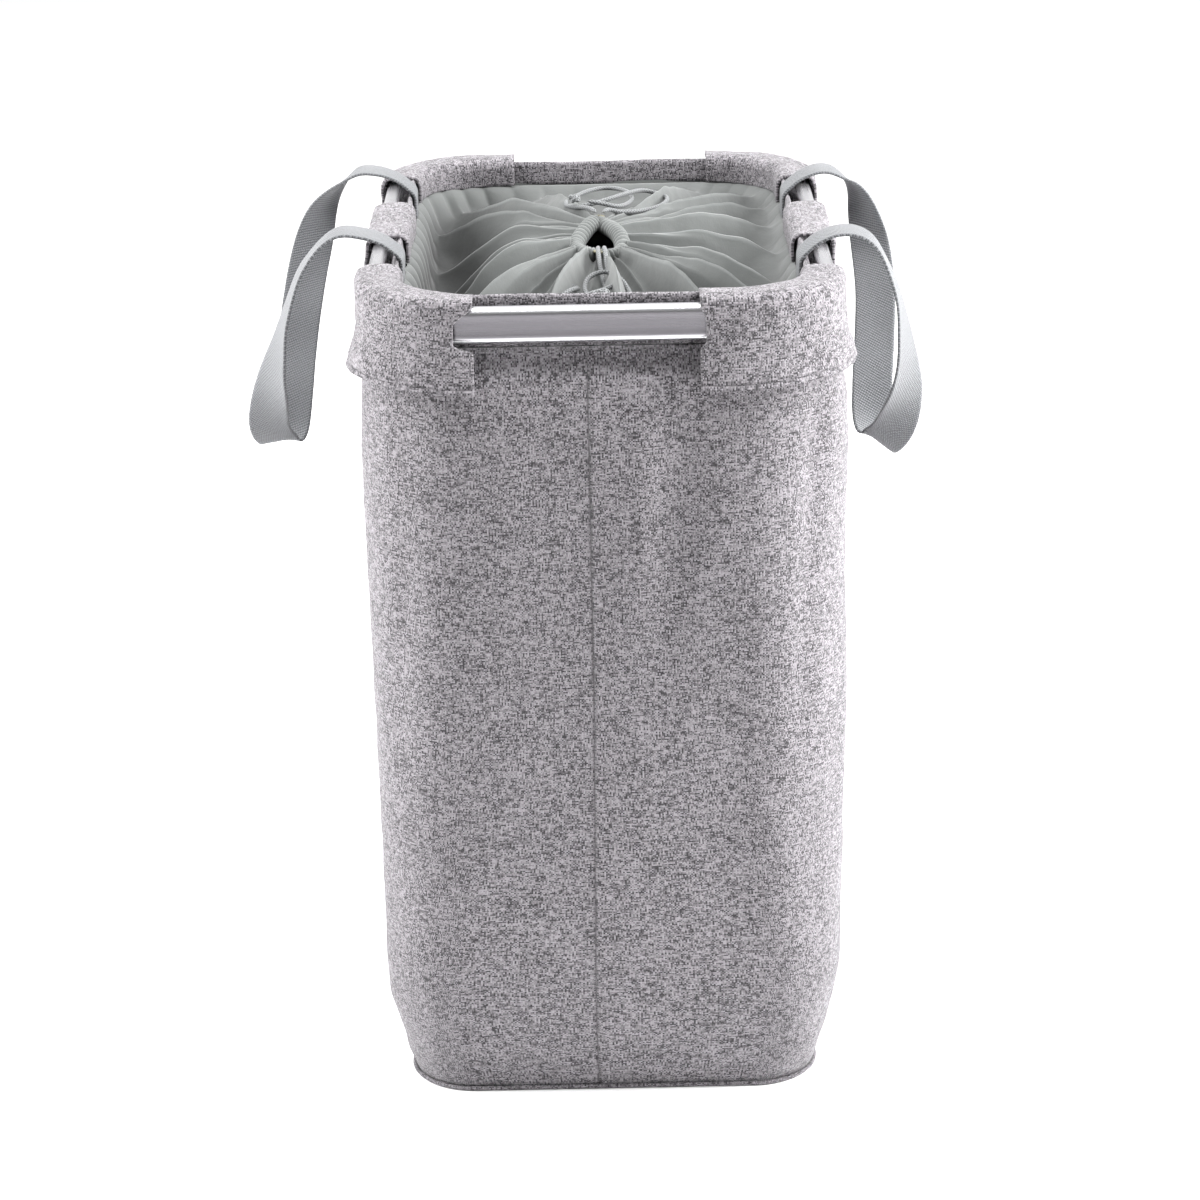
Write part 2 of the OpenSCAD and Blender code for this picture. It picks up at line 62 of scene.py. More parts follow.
# ------------------------------------------------------------------ sizes, some read from the frame
FRONT_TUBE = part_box("frame_front_half")
HEM_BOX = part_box("top_hem")
COVER_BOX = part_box("drawstring_cover")
SLEEVE_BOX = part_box("corner_sleeve_front_left")
PANEL_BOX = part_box("body_panel_right")
FRAME_HALF_W = FRONT_TUBE[1][0]
FRAME_HALF_D = -FRONT_TUBE[0][1]
TUBE_Z0, TUBE_Z1 = FRONT_TUBE[0][2], FRONT_TUBE[1][2]
RIM_Z = SLEEVE_BOX[1][2]
FLAP_Z = SLEEVE_BOX[0][2]
HEM_OUT = HEM_BOX[1][0] - FRAME_HALF_W
SHELL_BOTTOM, SHELL_TOP = PANEL_BOX[0][2], PANEL_BOX[1][2]
LINING_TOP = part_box("lining")[1][2]
COVER_OUT = COVER_BOX[1][0] - FRAME_HALF_W
COVER_Z = RIM_Z - 23 * MM

CORNER_R = 75 * MM
TUBE_T = 12 * MM
GRIP_HALF = 76 * MM
SIDE_SLEEVE_HALF = 50 * MM
SIDE_WINDOW_END = 140 * MM
CLOTH_SLIP = 10 * MM
FOOT_INSET = 17 * MM
BELLY_LOW = 3 * MM
BELLY_HIGH = 7 * MM
SHOULDER_OUT = 4 * MM
FOOT_RISE = 110 * MM
FOOT_CORNER_R = 45 * MM
SHOULDER_Z = FLAP_Z + 3 * MM
NECK_Z = HEM_BOX[0][2]
BELLY_Z = RIM_Z * 0.8
LEG_Y = 100 * MM
STRAP_TOP_Z = 615 * MM
MOUTH_Z = COVER_Z + 7 * MM
MOUTH_HALF_L = 54 * MM
CORD_D = 3.4 * MM
STRAP_W = 30 * MM
STRAP_T = 1.8 * MM
# Heights between which a sleeve's ends are cut back to show the tube
TUBE_BITE = (565 * MM, 571 * MM, 583 * MM, 598 * MM)
# Heights between which the shell is drawn in under the sleeves
DRAWN_IN = (512 * MM, 536 * MM)
FOAM_LOW, FOAM_HIGH = 30 * MM, 529 * MM
COVER_ROUND = 1.24
COVER_DEEP = 0.18
# Painted shade: how dark the cover's cloth is painted down in its folds, against its crests
PAINTED_FOLD_SHADE = 0.16


# ------------------------------------------------------------------ camera and light
CAMERA_PLACE = (-0.0045, -2.323, 1.149)
CAMERA_PITCH = 20
CAMERA_ROLL = 1.1
CAMERA_LENS = 97.02
WORLD_FRONT = 0.26
WORLD_BACK = 1.05


def make_camera():
    """A long lens, pitched down on the narrow front, with a slight roll."""
    pitch, roll = math.radians(CAMERA_PITCH), math.radians(CAMERA_ROLL)
    ahead = Vector((0, math.cos(pitch), -math.sin(pitch)))
    above = Vector((0, math.sin(pitch), math.cos(pitch)))
    across = Vector((1, 0, 0))
    right = across * math.cos(roll) - above * math.sin(roll)
    up = across * math.sin(roll) + above * math.cos(roll)
    data = bpy.data.cameras.new("camera")
    data.lens = CAMERA_LENS
    data.sensor_width = 36
    cam = bpy.data.objects.new("camera", data)
    bpy.context.scene.collection.objects.link(cam)
    turn = Matrix((right, up, -ahead)).transposed().to_4x4()
    cam.matrix_world = Matrix.Translation(CAMERA_PLACE) @ turn
    bpy.context.scene.camera = cam


def area_light(name, place, aim, size, watts):
    """A soft rectangular lamp at a place, turned to face its aim."""
    data = bpy.data.lights.new(name, "AREA")
    data.shape = "RECTANGLE"
    data.size, data.size_y = size
    data.energy = watts
    lamp = bpy.data.objects.new(name, data)
    bpy.context.scene.collection.objects.link(lamp)
    lamp.location = place
    lamp.rotation_euler = (Vector(aim) - Vector(place)).to_track_quat("-Z", "Y").to_euler()


def make_studio():
    """A white floor, soft side and top lamps, and a sky that is dimmer in front than behind."""
    bpy.ops.mesh.primitive_plane_add(size=12, location=(0, 0, 0))
    floor = bpy.context.object
    floor.name = "floor"
    floor.data.materials.append(plain("floor_paint", (0.96, 0.96, 0.96), 0.9))
    world = bpy.data.worlds.new("studio")
    world.use_nodes = True
    tree = world.node_tree
    coords = tree.nodes.new("ShaderNodeTexCoord")
    split = tree.nodes.new("ShaderNodeSeparateXYZ")
    dim = tree.nodes.new("ShaderNodeMapRange")
    dim.inputs["From Min"].default_value = -1.0
    dim.inputs["From Max"].default_value = 0.25
    dim.inputs["To Min"].default_value = WORLD_FRONT
    dim.inputs["To Max"].default_value = WORLD_BACK
    tree.links.new(coords.outputs["Generated"], split.inputs[0])
    tree.links.new(split.outputs[1], dim.inputs[0])
    tree.links.new(dim.outputs[0], tree.nodes["Background"].inputs[1])
    tree.nodes["Background"].inputs[0].default_value = (1, 1, 1, 1)
    bpy.context.scene.world = world
    bpy.context.scene.view_settings.view_transform = "Standard"
    area_light("soft_left", (-2.0, 0.1, 1.1), (0, 0, 0.35), (1.2, 1.8), 96)
    area_light("soft_right", (2.0, -0.1, 1.2), (0, 0, 0.35), (1.2, 1.8), 140)
    area_light("soft_top", (0.3, -0.35, 3.4), (0, 0, 0.2), (2.4, 2.4), 150)


# ------------------------------------------------------------------ material helpers
def new_material(name, rough, metal=0.0, sheen=0.0):
    """A new material and its surface shader."""
    mat = bpy.data.materials.new(name)
    mat.use_nodes = True
    shader = mat.node_tree.nodes["Principled BSDF"]
    shader.inputs["Roughness"].default_value = rough
    shader.inputs["Metallic"].default_value = metal
    shader.inputs["Sheen Weight"].default_value = sheen
    return mat, shader


class Nodes:
    """Short hand for wiring one material."""

    def __init__(self, mat):
        self.tree = mat.node_tree
        self.out = self.tree.nodes["Principled BSDF"]

    def add(self, kind, **values):
        node = self.tree.nodes.new("ShaderNode" + kind)
        for key, value in values.items():
            setattr(node, key, value)
        return node

    def link(self, source, target):
        self.tree.links.new(source, target)

    def math(self, operation, a, b=None, c=None):
        node = self.add("Math", operation=operation)
        for slot, value in enumerate((a, b, c)):
            if value is None:
                continue
            if isinstance(value, (int, float)):
                node.inputs[slot].default_value = value
            else:
                self.link(value, node.inputs[slot])
        return node.outputs[0]

    def vector(self, x, y, z=0.0):
        node = self.add("CombineXYZ")
        for slot, value in enumerate((x, y, z)):
            if isinstance(value, (int, float)):
                node.inputs[slot].default_value = value
            else:
                self.link(value, node.inputs[slot])
        return node.outputs[0]

    def uv(self):
        node = self.add("UVMap", uv_map="cloth")
        split = self.add("SeparateXYZ")
        self.link(node.outputs[0], split.inputs[0])
        return split.outputs[0], split.outputs[1]

    def place(self):
        return self.add("TexCoord").outputs["Object"]

    def noise(self, vector, scale, detail=2.0, rough=0.5):
        node = self.add("TexNoise")
        self.link(vector, node.inputs["Vector"])
        node.inputs["Scale"].default_value = scale
        node.inputs["Detail"].default_value = detail
        node.inputs["Roughness"].default_value = rough
        return node.outputs["Fac"]

    def ramp(self, value, stops):
        node = self.add("ValToRGB")
        elements = node.color_ramp.elements
        while len(elements) < len(stops):
            elements.new(0.5)
        for element, (at, colour) in zip(elements, stops):
            element.position = at
            element.color = (*colour, 1)
        self.link(value, node.inputs[0])
        return node.outputs[0]

    def mix(self, share, a, b, kind="MIX"):
        node = self.add("Mix", data_type="RGBA", blend_type=kind)
        for slot, value in ((0, share), (6, a), (7, b)):
            if isinstance(value, (int, float)):
                node.inputs[slot].default_value = value
            elif isinstance(value, tuple):
                node.inputs[slot].default_value = (*value, 1)
            else:
                self.link(value, node.inputs[slot])
        return node.outputs[2]

    def bump(self, height, distance, strength=1.0):
        node = self.add("Bump")
        node.inputs["Strength"].default_value = strength
        node.inputs["Distance"].default_value = distance
        self.link(height, node.inputs["Height"])
        self.link(node.outputs[0], self.out.inputs["Normal"])

    def colour(self, value):
        self.link(value, self.out.inputs["Base Color"])


def plain(name, colour, rough):
    """One even colour, for the floor and the thread."""
    mat, shader = new_material(name, rough)
    shader.inputs["Base Color"].default_value = (*colour, 1)
    return mat


def linen_weave(name, dark, light, yarn=1.05 * MM):
    """Slubby two-tone plain weave: each yarn runs light and dark along its length."""
    mat, _ = new_material(name, 0.92, sheen=0.15)
    n = Nodes(mat)
    u, v = n.uv()
    wobble = n.noise(n.vector(u, v), 60, 1)
    across = n.math("MULTIPLY_ADD", wobble, 0.5, n.math("DIVIDE", u, yarn))
    along = n.math("MULTIPLY_ADD", wobble, 0.5, n.math("DIVIDE", v, yarn))
    column, row = n.math("FLOOR", across), n.math("FLOOR", along)
    warp = n.noise(n.vector(n.math("MULTIPLY", column, 3.17), n.math("MULTIPLY", v, 230)), 1, 2, 0.6)
    weft = n.noise(n.vector(n.math("MULTIPLY", u, 230), n.math("MULTIPLY", row, 3.71), 9.3), 1, 2, 0.6)
    over = n.math("PINGPONG", n.math("ADD", column, row), 1)
    tone = n.math("ADD", n.math("MULTIPLY", over, n.math("SUBTRACT", warp, weft)), weft)
    cloud = n.noise(n.vector(u, v), 40, 2, 0.5)
    tone = n.math("MULTIPLY_ADD", n.math("SUBTRACT", cloud, 0.5), 0.08, tone)
    n.colour(n.ramp(tone, [(0.40, dark), (0.5, tuple((a + b) / 2 for a, b in zip(dark, light))),
                           (0.60, light)]))
    hump_u = n.math("PINGPONG", across, 0.5)
    hump_v = n.math("PINGPONG", along, 0.5)
    height = n.math("ADD", n.math("SMOOTH_MIN", hump_u, 0.42, 0.2),
                    n.math("SMOOTH_MIN", hump_v, 0.42, 0.2))
    n.bump(n.math("MULTIPLY_ADD", tone, 0.5, height), 0.45 * MM, 0.8)
    return mat


def plain_cloth(name, colour, shade, rough=0.75, low=None, high=None):
    """Thin fine-woven lining cloth with soft creases; given heights, painted shade makes it darker down in
    its folds.
    """
    mat, _ = new_material(name, rough, sheen=0.25)
    n = Nodes(mat)
    u, v = n.uv()
    place = n.place()
    crease = n.noise(place, 42, 4, 0.55)
    fine = n.noise(n.vector(n.math("MULTIPLY", u, 900), n.math("MULTIPLY", v, 900)), 1, 1)
    tint = n.mix(n.noise(place, 14, 2), colour, shade)
    # Painted shade: below the given heights the colour sinks towards a dark copy of itself, so cloth deep
    # in the folds looks shaded.
    if low is not None:
        split = n.add("SeparateXYZ")
        n.link(place, split.inputs[0])
        depth = n.add("MapRange")
        n.link(n.math("MULTIPLY_ADD", crease, 4 * MM, split.outputs[2]), depth.inputs[0])
        depth.inputs["From Min"].default_value = low
        depth.inputs["From Max"].default_value = high
        tint = n.mix(depth.outputs[0], tuple(PAINTED_FOLD_SHADE * c for c in colour), tint)
    n.colour(tint)
    n.bump(n.math("MULTIPLY_ADD", fine, 0.06, crease), 2.2 * MM, 0.45)
    return mat


def webbing_weave(name, dark, light, rib=2.1 * MM):
    """Twill webbing: slanting ribs across a narrow band."""
    mat, _ = new_material(name, 0.78, sheen=0.2)
    n = Nodes(mat)
    u, v = n.uv()
    slant = n.math("DIVIDE", n.math("MULTIPLY_ADD", u, 0.55, v), rib)
    pick = n.math("DIVIDE", u, rib * 0.72)
    ridge = n.math("PINGPONG", slant, 0.5)
    dot = n.math("PINGPONG", n.math("ADD", pick, n.math("MULTIPLY", n.math("FLOOR", slant), 0.5)), 0.5)
    height = n.math("ADD", ridge, n.math("MULTIPLY", dot, 0.7))
    speck = n.noise(n.vector(n.math("MULTIPLY", u, 700), n.math("MULTIPLY", v, 700)), 1, 2)
    # Painted shade: the colour follows the rib height, dark down in the grooves and light on the ribs,
    # with random specks over it.
    tone = n.math("MULTIPLY_ADD", speck, 0.35, n.math("MULTIPLY", height, 0.95))
    n.colour(n.ramp(tone, [(0.25, dark), (0.75, light)]))
    n.bump(height, 0.6 * MM, 0.9)
    return mat


def braid(name, dark, light, pitch=2.6 * MM):
    """Round braid: two sets of strands that cross in diamonds."""
    mat, _ = new_material(name, 0.7, sheen=0.15)
    n = Nodes(mat)
    u, v = n.uv()
    around = n.math("MULTIPLY", u, 4)
    along = n.math("DIVIDE", v, pitch)
    left = n.math("PINGPONG", n.math("ADD", along, around), 0.5)
    right = n.math("PINGPONG", n.math("SUBTRACT", along, around), 0.5)
    height = n.math("MAXIMUM", left, right)
    # Painted shade: the colour follows the strands' height, dark in the gaps between them and light where
    # they cross.
    n.colour(n.ramp(height, [(0.12, dark), (0.45, light)]))
    n.bump(height, 0.9 * MM, 0.9)
    return mat


def drawn_lines(n, place):
    """Fine level lines, as a drawn or brushed metal has."""
    stretch = n.add("Mapping")
    stretch.inputs["Scale"].default_value = (6, 6, 900)
    n.link(place, stretch.inputs[0])
    return n.noise(stretch.outputs[0], 1, 3, 0.6)


def satin_metal(name, colour, rough):
    """Satin metal for the small fittings: fine lines, with the roughness a little uneven."""
    mat, _ = new_material(name, rough, metal=1.0)
    n = Nodes(mat)
    place = n.place()
    lines = drawn_lines(n, place)
    cloud = n.noise(place, 30, 3)
    n.colour(n.mix(cloud, colour, tuple(c * 0.93 for c in colour)))
    n.link(n.math("MULTIPLY_ADD", cloud, 0.10, rough - 0.05), n.out.inputs["Roughness"])
    n.bump(lines, 0.04 * MM, 0.4)
    return mat


def drawn_tube(name, edge, face, rough):
    """Anodised flat tube, brushed: its rounded edges above and below are painted bright as highlights,
    against a face painted darker.
    """
    mat, _ = new_material(name, rough, metal=1.0)
    n = Nodes(mat)
    place = n.place()
    split = n.add("SeparateXYZ")
    n.link(place, split.inputs[0])
    off = n.math("ABSOLUTE", n.math("SUBTRACT", split.outputs[2], (TUBE_Z0 + TUBE_Z1) / 2))
    # Painted highlights: a band by height colours the rounded edges bright and leaves the face dark.
    band = n.add("MapRange", interpolation_type="SMOOTHSTEP")
    n.link(off, band.inputs[0])
    band.inputs["From Min"].default_value = (TUBE_Z1 - TUBE_Z0) / 2 - 5.0 * MM
    band.inputs["From Max"].default_value = (TUBE_Z1 - TUBE_Z0) / 2 - 2.6 * MM
    lines = drawn_lines(n, place)
    cloud = n.noise(place, 30, 3)
    shade = n.mix(n.math("MULTIPLY", cloud, 0.25), face, tuple(c * 0.8 for c in face))
    n.colour(n.mix(band.outputs[0], shade, edge))
    n.link(n.math("MULTIPLY_ADD", lines, 0.14, rough - 0.07), n.out.inputs["Roughness"])
    n.bump(lines, 0.04 * MM, 0.4)
    return mat


def speckled(name, colour, other, rough, grain, depth):
    """Board, foam and moulded plastic: a base colour with a fine grain of its own."""
    mat, _ = new_material(name, rough)
    n = Nodes(mat)
    place = n.place()
    fleck = n.noise(place, grain, 4, 0.6)
    n.colour(n.mix(fleck, colour, other))
    n.bump(fleck, depth, 0.6)
    return mat


def make_materials():
    """Every finish, by the name that the record's slots use or by the cloth it makes."""
    return {
        "linen_fabric": linen_weave("linen_cloth", (0.020, 0.018, 0.021), (0.250, 0.235, 0.252)),
        "linen_thread": plain("linen_thread", (0.115, 0.108, 0.117), 0.8),
        # The cover's cloth carries painted shade, darker down in its folds.
        "cover_fabric": plain_cloth("cover_cloth", (0.150, 0.158, 0.155), (0.110, 0.118, 0.114),
                                    low=COVER_Z - 24 * MM, high=RIM_Z + 2 * MM),
        "lining_fabric": plain_cloth("lining_cloth", (0.42, 0.44, 0.43), (0.36, 0.375, 0.37)),
        "webbing": webbing_weave("webbing_twill", (0.026, 0.028, 0.030), (0.165, 0.170, 0.180)),
        "cord_braid": braid("cord_braid", (0.052, 0.055, 0.057), (0.195, 0.202, 0.206)),
        # Painted highlights: the tube's edges take the bright colour, its face the dark one.
        "aluminium_tube": drawn_tube("anodised_tube", (0.78, 0.775, 0.80), (0.185, 0.178, 0.192), 0.28),
        "rivet_metal": satin_metal("rivet_metal", (0.70, 0.70, 0.72), 0.35),
        "eyelet_metal": satin_metal("eyelet_plating", (0.60, 0.56, 0.38), 0.32),
        "joint_plastic": speckled("joint_plastic", (0.03, 0.03, 0.035), (0.05, 0.05, 0.055),
                                  0.5, 700, 0.1 * MM),
        "board": speckled("fibre_board", (0.42, 0.30, 0.19), (0.33, 0.23, 0.14),
                          0.85, 260, 0.3 * MM),
        "foam": speckled("foam_sheet", (0.82, 0.82, 0.80), (0.74, 0.74, 0.72),
                         0.95, 900, 0.4 * MM),
    }


# ------------------------------------------------------------------ plan of the rim and the wall
REF_STRAIGHT = FRAME_HALF_W - CORNER_R
REF_ARC = math.pi / 2 * CORNER_R
REF_SIDE = 2 * (FRAME_HALF_D - CORNER_R)
SPANS = [REF_STRAIGHT, REF_ARC, REF_SIDE, REF_ARC, 2 * REF_STRAIGHT, REF_ARC, REF_SIDE, REF_ARC,
         REF_STRAIGHT]
STARTS = np.concatenate([[0], np.cumsum(SPANS)])
ROUND = STARTS[-1]


def plan(half_w, half_d, radius, run):
    """Point and outward normal on a rounded rectangle, at a run counted from the front middle."""
    half_w, half_d, radius, run = np.broadcast_arrays(half_w, half_d, radius, np.mod(run, ROUND))
    span = np.clip(np.searchsorted(STARTS, run, side="right") - 1, 0, 8)
    t = (run - STARTS[span]) / np.take(SPANS, span)
    cx, cy = half_w - radius, half_d - radius
    corner_of = {1: (1, -1, -90), 3: (1, 1, 0), 5: (-1, 1, 90), 7: (-1, -1, 180)}
    x, y, nx, ny = (np.zeros(run.shape) for _ in range(4))
    flats = {0: (t * cx, -half_d, 0, -1), 2: (half_w, cy * (2 * t - 1), 1, 0),
             4: (cx * (1 - 2 * t), half_d, 0, 1), 6: (-half_w, cy * (1 - 2 * t), -1, 0),
             8: (cx * (t - 1), -half_d, 0, -1)}
    for k, (fx, fy, fnx, fny) in flats.items():
        here = span == k
        x = np.where(here, fx, x)
        y = np.where(here, fy, y)
        nx = np.where(here, fnx, nx)
        ny = np.where(here, fny, ny)
    for k, (sx, sy, a0) in corner_of.items():
        here = span == k
        a = np.radians(a0 + 90 * t)
        nx = np.where(here, np.cos(a), nx)
        ny = np.where(here, np.sin(a), ny)
        x = np.where(here, sx * cx + radius * np.cos(a), x)
        y = np.where(here, sy * cy + radius * np.sin(a), y)
    return np.stack([x, y], -1), np.stack([nx, ny], -1)


def rim_point(out, z, run):
    """A point out from the frame's outer face at a height, as an array of x, y, z."""
    flat, normal = plan(FRAME_HALF_W + out, FRAME_HALF_D + out, CORNER_R + out, run)
    return np.concatenate([flat, np.broadcast_to(z, flat.shape[:-1])[..., None]], -1), normal


def step(x, low, high):
    """Smoothly 0 below low and 1 above high."""
    t = np.clip((x - low) / (high - low), 0, 1)
    return t * t * (3 - 2 * t)


def wall_out(z):
    """How far the shell stands out from the frame's outer face at a height."""
    foot = -FOOT_INSET + (BELLY_LOW + FOOT_INSET) * np.sin(np.pi / 2 * np.clip(z / FOOT_RISE, 0, 1))
    belly = BELLY_LOW + (BELLY_HIGH - BELLY_LOW) * np.clip((z - FOOT_RISE) / (BELLY_Z - FOOT_RISE), 0, 1)
    top = BELLY_HIGH + (SHOULDER_OUT - BELLY_HIGH) * np.clip((z - BELLY_Z) / (SHOULDER_Z - BELLY_Z), 0, 1)
    out = np.where(z < FOOT_RISE, foot, np.where(z < BELLY_Z, belly, top))
    return out + (HEM_OUT - SHOULDER_OUT) * step(z, SHOULDER_Z - 2 * MM, NECK_Z + 2 * MM)


def wall_corner(z):
    """The shell's corner radius at a height: tighter at the foot than at the rim."""
    return FOOT_CORNER_R + (CORNER_R + wall_out(z) - FOOT_CORNER_R) * np.clip(z / (RIM_Z / 2), 0, 1)


def wall_point(z, run, inside=0.0):
    """A point on the shell, or some way inside it, and the normal of its plan."""
    out = wall_out(z) - inside
    flat, normal = plan(FRAME_HALF_W + out, FRAME_HALF_D + out, wall_corner(z) - inside, run)
    return np.concatenate([flat, np.broadcast_to(z, flat.shape[:-1])[..., None]], -1), normal


def waves(points, size, seed, count=16):
    """Smooth seeded noise about zero, from plane waves of about one size."""
    rng = np.random.default_rng(seed)
    ways = rng.normal(size=(count, points.shape[-1]))
    ways /= np.linalg.norm(ways, axis=1)[:, None]
    ways *= (2 * np.pi / size * rng.uniform(0.65, 1.5, count))[:, None]
    return np.sin(points @ ways.T + rng.uniform(0, 2 * np.pi, count)).mean(-1) * math.sqrt(2.0 * count) / 2


# ------------------------------------------------------------------ mesh helpers
def finish_piece(obj, body, material, replaces=()):
    """Gives a piece its material, the body it rides on and the nodes it stands for."""
    obj.data.materials.clear()
    obj.data.materials.append(MATERIALS[material])
    if body:
        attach(obj, body)
    if replaces:
        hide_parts(*replaces)
    return obj


def link_mesh(name, mesh):
    """Puts a mesh in the scene as an object."""
    obj = bpy.data.objects.new(name, mesh)
    bpy.context.scene.collection.objects.link(obj)
    return obj


def cloth_grid(name, across, along, place, wrap=False):
    """A grid bent to place(u, v), which gives points and the cloth's own measures in metres."""
    bm = bmesh.new()
    bmesh.ops.create_grid(bm, x_segments=across, y_segments=along, size=0.5)
    mesh = bpy.data.meshes.new(name)
    bm.to_mesh(mesh)
    bm.free()
    co = np.empty(len(mesh.vertices) * 3)
    mesh.vertices.foreach_get("co", co)
    co = co.reshape(-1, 3)
    points, measures = place(np.clip(co[:, 0] + 0.5, 0, 1), np.clip(co[:, 1] + 0.5, 0, 1))
    mesh.vertices.foreach_set("co", points.astype(np.float64).ravel())
    layer = mesh.uv_layers.new(name="cloth")
    corners = np.empty(len(mesh.loops), int)
    mesh.loops.foreach_get("vertex_index", corners)
    layer.data.foreach_set("uv", measures[corners].astype(np.float32).ravel())
    if wrap:
        bm = bmesh.new()
        bm.from_mesh(mesh)
        bmesh.ops.remove_doubles(bm, verts=bm.verts, dist=1e-6)
        bm.to_mesh(mesh)
        bm.free()
    mesh.shade_smooth()
    mesh.update()
    return link_mesh(name, mesh)


def thicken(obj, thickness, offset=-1):
    """Gives a cloth face its thickness, behind the side that shows."""
    mod = obj.modifiers.new("thickness", "SOLIDIFY")
    mod.thickness = thickness
    mod.offset = offset
    mod.use_even_offset = False
    return obj


def smooth_line(points, per_span):
    """Catmull-Rom line through given points, any number of columns."""
    p = np.asarray(points, float)
    p = np.vstack([p[0], p, p[-1]])
    out = []
    for i in range(1, len(p) - 2):
        a, b, c, d = p[i - 1:i + 3]
        for t in np.arange(per_span) / per_span:
            out.append(0.5 * (2 * b + (c - a) * t + (2 * a - 5 * b + 4 * c - d) * t * t
                              + (3 * b - a - 3 * c + d) * t ** 3))
    out.append(p[-2])
    return np.array(out)


def line_length(line):
    """The length of a line through its points."""
    return float(np.linalg.norm(np.diff(line[:, :3], axis=0), axis=1).sum())


def even_line(line, count):
    """The same line with its points evenly spaced."""
    run = np.concatenate([[0], np.cumsum(np.linalg.norm(np.diff(line[:, :3], axis=0), axis=1))])
    at = np.linspace(0, run[-1], count)
    return np.stack([np.interp(at, run, line[:, k]) for k in range(line.shape[1])], -1)


def tube_along(name, line, diameter, around=14):
    """A round tube swept along a line, closed at its ends."""
    count = len(line)
    d = np.gradient(line, axis=0)
    d /= np.linalg.norm(d, axis=1)[:, None]
    side = np.zeros_like(d)
    side[0] = np.cross(d[0], (0, 0.1, 1))
    side[0] /= np.linalg.norm(side[0])
    for i in range(1, count):
        s = side[i - 1] - d[i] * (side[i - 1] @ d[i])
        side[i] = s / np.linalg.norm(s)
    up = np.cross(side, d)
    run = np.concatenate([[0], np.cumsum(np.linalg.norm(np.diff(line, axis=0), axis=1))])
    cap = np.clip(np.minimum(np.arange(count), np.arange(count)[::-1]) / 2.0, 0.02, 1) ** 0.5

    def place(u, v):
        i = np.rint(v * (count - 1)).astype(int)
        a = 2 * np.pi * u
        r = diameter / 2 * cap[i]
        ring = np.cos(a)[:, None] * side[i] + np.sin(a)[:, None] * up[i]
        return line[i] + ring * r[:, None], np.stack([u, run[i]], -1)

    return cloth_grid(name, around, count - 1, place, wrap=True)


# ------------------------------------------------------------------ drawcords
# Millimetres. Each route leaves its eyelet; y counts from the eyelet and height from the mouth.
CORD_ROUTES = {
    "drawcord_front_long": (-1, [
        (-1, 0, 9), (-1, -10, 8), (0, -24, 2), (2, -42, -5), (5, -60, -9), (8, -78, -9),
        (13, -92, -8), (20, -88, -7), (20, -70, -6), (14, -54, -1), (4, -46, 2), (-7, -54, 1),
        (-11, -68, -3), (-8, -84, -6), (-2, -93, -5)]),
    "drawcord_front_short": (-1, [
        (3, 0, 9), (4, -10, 8), (5, -24, 2), (7, -42, -5), (10, -58, -4), (9, -72, -1),
        (2, -84, -1), (-8, -91, -2), (-18, -84, -6), (-25, -72, -6), (-26, -60, -6),
        (-19, -55, -6), (-16, -64, -5), (-20, -78, -2), (-28, -88, -4)]),
    "drawcord_rear_long": (1, [
        (-2, 0, 9), (-6, 8, 10), (-12, 18, 9), (-18, 28, 7), (-24, 42, 5), (-24, 60, 4),
        (-18, 80, 3), (-8, 98, 3), (4, 108, 3), (16, 104, 3), (24, 90, 3), (26, 70, 3),
        (22, 48, 4), (14, 32, 6), (2, 26, 10), (-8, 24, 12)]),
    "drawcord_rear_short": (1, [
        (3, 0, 9), (8, 8, 9), (16, 14, 6), (28, 22, 4), (40, 34, 3), (50, 50, 3), (53, 70, 3),
        (46, 86, 3), (34, 84, 6), (22, 66, 8), (8, 48, 8), (-6, 40, 6), (-14, 44, 4)]),
}
KNOTS = {"knot_front": (2, -98, 0), "knot_rear": (-18, 26, 14)}


def cord_line(name):
    """A cord's route as evenly spaced points, in metres."""
    end, route = CORD_ROUTES[name]
    p = np.array(route, float) * MM
    p[:, 1] += end * MOUTH_HALF_L
    p[:, 2] += MOUTH_Z
    line = smooth_line(p, 10)
    return even_line(line, int(line_length(line) / (0.45 * CORD_D)))


def tied_knot(name, centre):
    """A small overhand knot: a trefoil of the same cord, drawn tight."""
    t = np.linspace(0, 2 * np.pi, 90)
    x = np.sin(t) + 2 * np.sin(2 * t)
    y = np.cos(t) - 2 * np.cos(2 * t)
    z = -np.sin(3 * t)
    line = np.stack([x, y, z * 1.3], -1) * 1.15 * MM
    line = line + np.array(centre)
    return tube_along(name, line, CORD_D * 0.92, 10)


def make_cords():
    """The two knots and the four free cord ends that leave the channel."""
    for name, centre in KNOTS.items():
        end = -1 if name == "knot_front" else 1
        at = (centre[0] * MM, end * MOUTH_HALF_L + centre[1] * MM, MOUTH_Z + centre[2] * MM)
        finish_piece(tied_knot(name + "_tied", at), "rim", "cord_braid", [name])
    for name in CORD_ROUTES:
        line = cord_line(name)
        piece = finish_piece(tube_along(name + "_braid", line, CORD_D), "rim", "cord_braid",
                             [name])


# ------------------------------------------------------------------ frame tubes
def tube_section(count):
    """Closed section of the flat tube: rounded edges, its outer face slightly dished."""
    half_t, half_h, r = TUBE_T / 2, (TUBE_Z1 - TUBE_Z0) / 2, 5 * MM
    corners = [(1, 1, 0), (-1, 1, 90), (-1, -1, 180), (1, -1, 270)]
    points = []
    for sx, sy, a0 in corners:
        for a in np.radians(a0 + np.linspace(0, 90, 9)):
            points.append((sx * (half_t - r) + r * math.cos(a), sy * (half_h - r) + r * math.sin(a)))
    points.append(points[0])
    line = even_line(np.array([(x, y, 0) for x, y in points]), count + 1)[:, :2]
    dish = 0.25 * MM * np.exp(-(line[:, 1] / (7.5 * MM)) ** 4)
    line[:, 0] -= np.where(line[:, 0] > 0, dish, 0)
    return line


